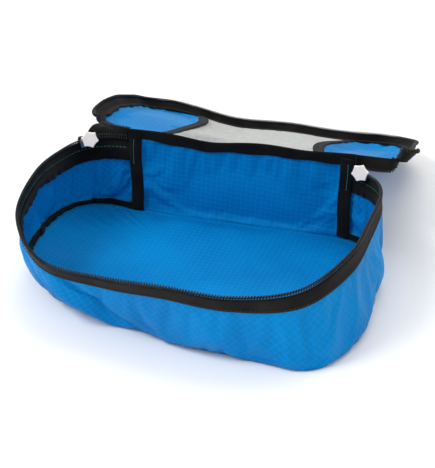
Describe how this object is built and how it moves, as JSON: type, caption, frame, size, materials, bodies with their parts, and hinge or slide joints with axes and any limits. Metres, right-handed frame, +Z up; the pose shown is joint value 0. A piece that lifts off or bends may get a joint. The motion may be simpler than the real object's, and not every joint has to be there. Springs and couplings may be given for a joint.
{
  "type": "packing cube",
  "caption": "Small soft packing cube of ripstop nylon with a zipped lid and mesh window, shown open with the lid folded back over its rear edge.",
  "frame": {"origin": "underside of the base, below the middle of the opening", "axes": "+Z up, +X to the right along the rear hinge edge as seen from the open front, +Y towards the hinge edge and the folded-back lid"},
  "size_m": [0.2707, 0.3793, 0.0807],
  "materials": {
    "ripstop_blue": "coated ripstop nylon, low sheen",
    "binding_black": "ribbed binding tape",
    "tape_charcoal": "woven zipper tape",
    "coil_black": "nylon coil",
    "net_grey": "knitted net",
    "thread_teal": "sewing thread",
    "slider_metal": "painted die-cast metal",
    "pull_plastic": "moulded, satin"
  },
  "bodies": {
    "tray": {"bottom_panel": "ripstop_blue", "wall_gusset": "ripstop_blue", "back_panel": "ripstop_blue", "base_seam_binding": "binding_black", "rim_seam_binding": "binding_black", "lower_zipper_tape": "tape_charcoal", "lower_zipper_coil": "coil_black", "end_strip_left": "binding_black", "end_strip_right": "binding_black", "bartack_left": "thread_teal", "bartack_right": "thread_teal", "hinge_binding": "binding_black", "upper_tape_rear_right": "tape_charcoal", "upper_coil_rear_right": "coil_black", "upper_tape_rear_left": "tape_charcoal", "upper_coil_rear_left": "coil_black"},
    "lid": {"mesh_window": "net_grey", "lid_panel_left": "ripstop_blue", "lid_panel_right": "ripstop_blue", "window_binding_left": "binding_black", "window_binding_right": "binding_black", "lid_edge_binding": "binding_black", "upper_zipper_tape": "tape_charcoal", "upper_zipper_coil": "coil_black"},
    "slider_right": {"slider_right": "slider_metal"},
    "pull_right": {"pull_tab_right": "pull_plastic"},
    "slider_left": {"slider_left": "slider_metal"},
    "pull_left": {"pull_tab_left": "pull_plastic"}
  },
  "joints": [
    {"name": "lid_hinge", "type": "hinge", "parent": "tray", "child": "lid", "pos_m": [0, 0.09, 0.075], "axis": [1, 0, 0], "range_deg": [0, 202]},
    {"name": "slider_right_run", "type": "hinge", "parent": "tray", "child": "slider_right", "pos_m": [0.082, 0.054, 0.062], "axis": [0, 0, -1], "range_deg": [0, 56]},
    {"name": "slider_left_run", "type": "hinge", "parent": "tray", "child": "slider_left", "pos_m": [-0.097, 0.05, 0.066], "axis": [0, 0, 1], "range_deg": [0, 36]},
    {"name": "pull_right_swing", "type": "hinge", "parent": "slider_right", "child": "pull_right", "pos_m": [0.09541, 0.0815, 0.0636], "axis": [-0.8988, 0.4384, 0], "range_deg": [0, 100]},
    {"name": "pull_left_swing", "type": "hinge", "parent": "slider_left", "child": "pull_left", "pos_m": [-0.12189, 0.07404, 0.0676], "axis": [-0.6947, -0.7193, 0], "range_deg": [0, 100]}
  ]
}
